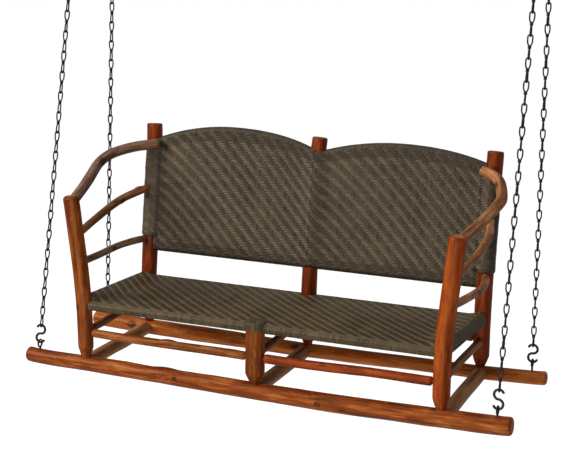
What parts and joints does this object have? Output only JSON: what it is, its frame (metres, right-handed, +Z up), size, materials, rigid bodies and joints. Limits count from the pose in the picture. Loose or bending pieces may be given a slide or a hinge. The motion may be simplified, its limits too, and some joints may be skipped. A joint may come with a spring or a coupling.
{
  "type": "porch swing",
  "caption": "Rustic two-seat porch swing of peeled logs with a dark woven seat and back, hung on chains with S-hooks, screw eyes and ceiling hooks.",
  "frame": {"origin": "in the ceiling plane, midway between the left and right ends of the swing and between its front and rear skids", "axes": "+X along the swing to its right, +Y to its back, +Z up"},
  "size_m": [1.5567, 0.554, 1.3536],
  "materials": {
    "post_wood": "clear varnish over orange-brown peeled hickory",
    "skid_wood": "clear varnish over red-brown peeled hickory",
    "rail_wood": "clear varnish over orange-brown peeled hickory",
    "arm_wood": "clear varnish over grey-brown peeled hickory",
    "woven_cane": "dark woven flat cane with a low sheen",
    "black_steel": "black coated steel wire"
  },
  "bodies": {
    "ceiling": {"ceiling_hook_front_left": "black_steel", "ceiling_hook_front_right": "black_steel", "ceiling_hook_rear_left": "black_steel", "ceiling_hook_rear_right": "black_steel"},
    "front_chains": {"chain_front_left": "black_steel", "chain_front_right": "black_steel", "s_hook_front_left": "black_steel", "s_hook_front_right": "black_steel"},
    "rear_chains": {"chain_rear_left": "black_steel", "chain_rear_right": "black_steel", "s_hook_rear_left": "black_steel", "s_hook_rear_right": "black_steel"},
    "swing_seat": {"arm_rail_left": "arm_wood", "arm_rail_right": "arm_wood", "arm_spindle_lower_left": "arm_wood", "arm_spindle_lower_right": "arm_wood", "arm_spindle_upper_left": "arm_wood", "arm_spindle_upper_right": "arm_wood", "back_bottom_rail_left": "rail_wood", "back_bottom_rail_right": "rail_wood", "back_hoop_left": "rail_wood", "back_hoop_right": "rail_wood", "cross_member_centre": "skid_wood", "cross_member_left": "skid_wood", "cross_member_right": "skid_wood", "front_post_centre": "post_wood", "front_post_left": "post_wood", "front_post_right": "post_wood", "front_skid": "skid_wood", "front_stretcher_left": "rail_wood", "front_stretcher_right": "rail_wood", "nails": "black_steel", "rear_post_centre": "post_wood", "rear_post_left": "post_wood", "rear_post_right": "post_wood", "rear_skid": "skid_wood", "rear_stretcher_left": "rail_wood", "rear_stretcher_right": "rail_wood", "screw_eye_front_left": "black_steel", "screw_eye_front_right": "black_steel", "screw_eye_rear_left": "black_steel", "screw_eye_rear_right": "black_steel", "seat_rail_front_left": "rail_wood", "seat_rail_front_right": "rail_wood", "seat_rail_left": "rail_wood", "seat_rail_rear_left": "rail_wood", "seat_rail_rear_right": "rail_wood", "seat_rail_right": "rail_wood", "side_stretcher_centre": "rail_wood", "side_stretcher_left": "rail_wood", "side_stretcher_right": "rail_wood", "woven_back": "woven_cane", "woven_seat": "woven_cane"}
  },
  "joints": [
    {"name": "front_chain_swing", "type": "hinge", "parent": "ceiling", "child": "front_chains", "pos_m": [0, -0.107, -0.0545], "axis": [1, 0, 0], "range_deg": [-15, 15]},
    {"name": "seat_hang", "type": "hinge", "parent": "front_chains", "child": "swing_seat", "pos_m": [0, -0.2133, -1.204], "axis": [1, 0, 0], "range_deg": [-9.6, 9.6]},
    {"name": "rear_chain_swing", "type": "hinge", "parent": "ceiling", "child": "rear_chains", "pos_m": [0, 0.1407, -0.0545], "axis": [1, 0, 0], "range_deg": [-16, 16]}
  ],
  "couplings": [
    {"joint": "seat_hang", "follows": "front_chain_swing", "ratio": -0.575},
    {"joint": "rear_chain_swing", "follows": "front_chain_swing", "ratio": 0.9975}
  ]
}
